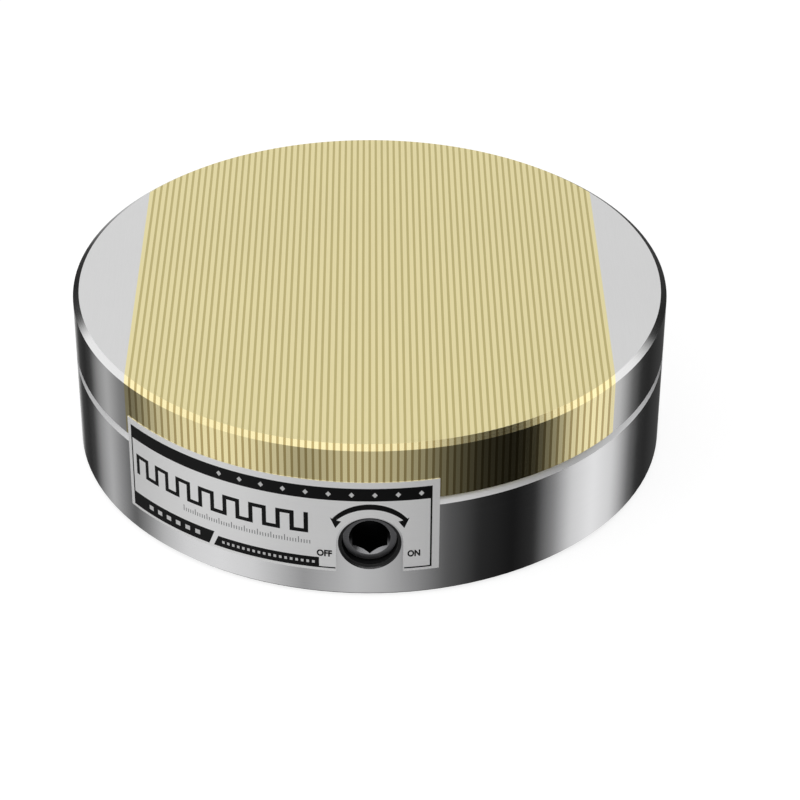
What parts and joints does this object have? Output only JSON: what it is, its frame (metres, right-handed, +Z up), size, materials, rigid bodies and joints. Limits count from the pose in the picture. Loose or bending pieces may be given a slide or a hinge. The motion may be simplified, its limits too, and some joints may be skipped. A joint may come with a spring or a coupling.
{
  "type": "magnetic chuck",
  "caption": "Round permanent-magnet chuck: laminated steel and brass work face on a steel base, switched by half a turn of a hexagonal key in its side.",
  "frame": {"origin": "centre of the underside", "axes": "+Z up out of the work face; the key socket faces -Y; the strips run along Y and the magnet pack slides along X"},
  "size_m": [0.18, 0.1803, 0.0515],
  "materials": {
    "ground_steel": "finely ground, bright",
    "segment_steel": "surface ground, satin",
    "pole_steel": "surface ground thin strip",
    "strip_brass": "surface ground pale brass",
    "screw_steel": "black oxide",
    "pin_steel": "hardened and ground",
    "label_foil": "satin printed sheet",
    "shaft_steel": "black oxide, turned",
    "bush_liner": "black lined sleeve",
    "rail_bronze": "milled bronze",
    "pack_steel": "ground, oiled",
    "pack_ends": "milled",
    "magnet_plating": "nickel plated magnet",
    "fastener_steel": "zinc plated"
  },
  "bodies": {
    "base": {"base_body": "ground_steel", "left_segment": "segment_steel", "right_segment": "segment_steel", "pole_strips": "pole_steel", "brass_strips": "strip_brass", "plate_screws": "screw_steel", "dowel_pins": "pin_steel", "name_plate": "label_foil", "shaft_bush": "bush_liner", "stop_screw": "screw_steel", "front_rail": "rail_bronze", "rear_rail": "rail_bronze"},
    "key_shaft": {"eccentric_shaft": "shaft_steel"},
    "magnet_pack": {"pole_plates": "pack_steel", "left_end_plate": "pack_ends", "right_end_plate": "pack_ends", "magnets": "magnet_plating", "drive_block": "rail_bronze", "tie_rods": "fastener_steel", "tie_nuts": "fastener_steel"}
  },
  "joints": [
    {"name": "shaft_turn", "type": "hinge", "parent": "base", "child": "key_shaft", "pos_m": [0, -0.075, 0.01845], "axis": [0, 1, 0], "range_deg": [0, 180]},
    {"name": "pack_slide", "type": "slide", "parent": "base", "child": "magnet_pack", "axis": [1, 0, 0], "range_m": [0, 0.00296]}
  ],
  "couplings": [
    {"joint": "shaft_turn", "follows": "pack_slide", "rad_per_m": 1063.1}
  ]
}
